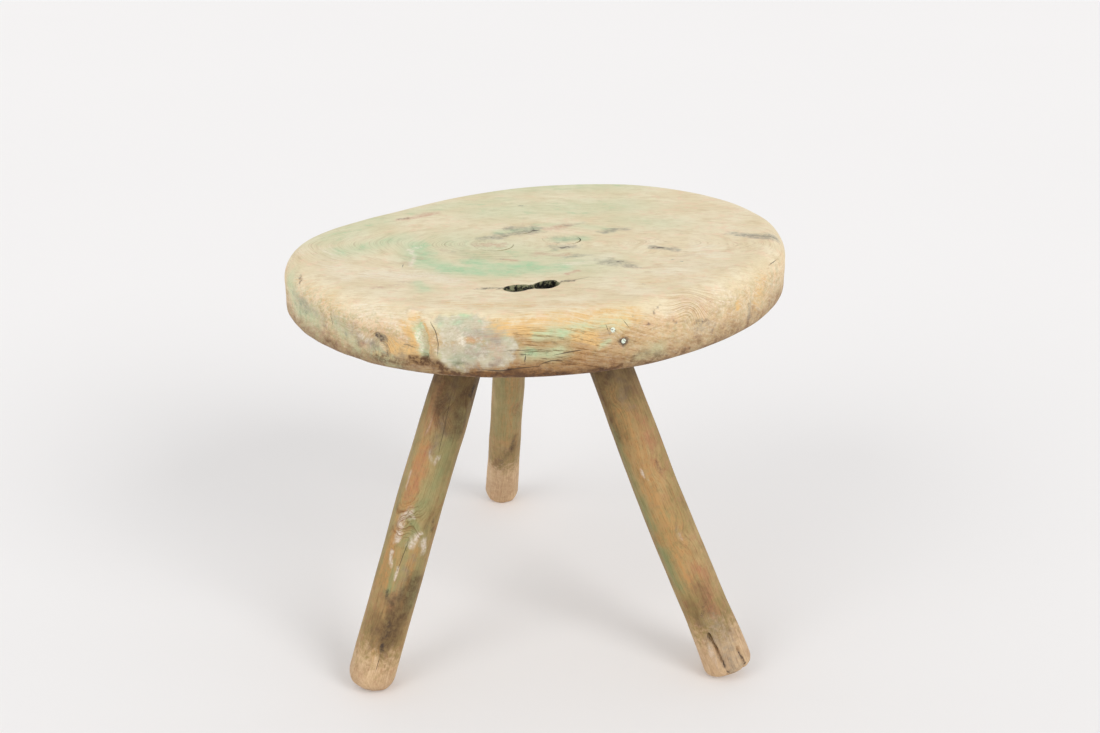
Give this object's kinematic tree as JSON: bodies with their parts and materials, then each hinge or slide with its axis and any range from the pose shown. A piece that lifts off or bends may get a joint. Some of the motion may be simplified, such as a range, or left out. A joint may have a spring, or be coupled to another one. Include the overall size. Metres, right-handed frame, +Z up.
{
  "type": "milking stool",
  "caption": "Low wooden milking stool: a thick, roughly round slab seat on splayed hand-shaved legs with wedged through tenons.",
  "frame": {"origin": "on the floor under the middle of the stool's box", "axes": "+Z up, +Y towards the rear leg, +X to the right seen from the front (the side opposite the rear leg)"},
  "size_m": [0.354, 0.3962, 0.31],
  "materials": {
    "seat_wood": "bleached, worn, with traces of green paint",
    "leg_wood": "worn smooth, dark, with traces of green paint",
    "wedge_wood": "end grain, worn flush",
    "nail_steel": "dull, weathered"
  },
  "bodies": {
    "root": {"seat": "seat_wood", "leg_front_left": "leg_wood", "leg_front_right": "leg_wood", "leg_rear": "leg_wood", "wedge_front_left": "wedge_wood", "wedge_front_right": "wedge_wood", "wedge_rear": "wedge_wood", "edge_nails": "nail_steel"}
  },
  "joints": []
}
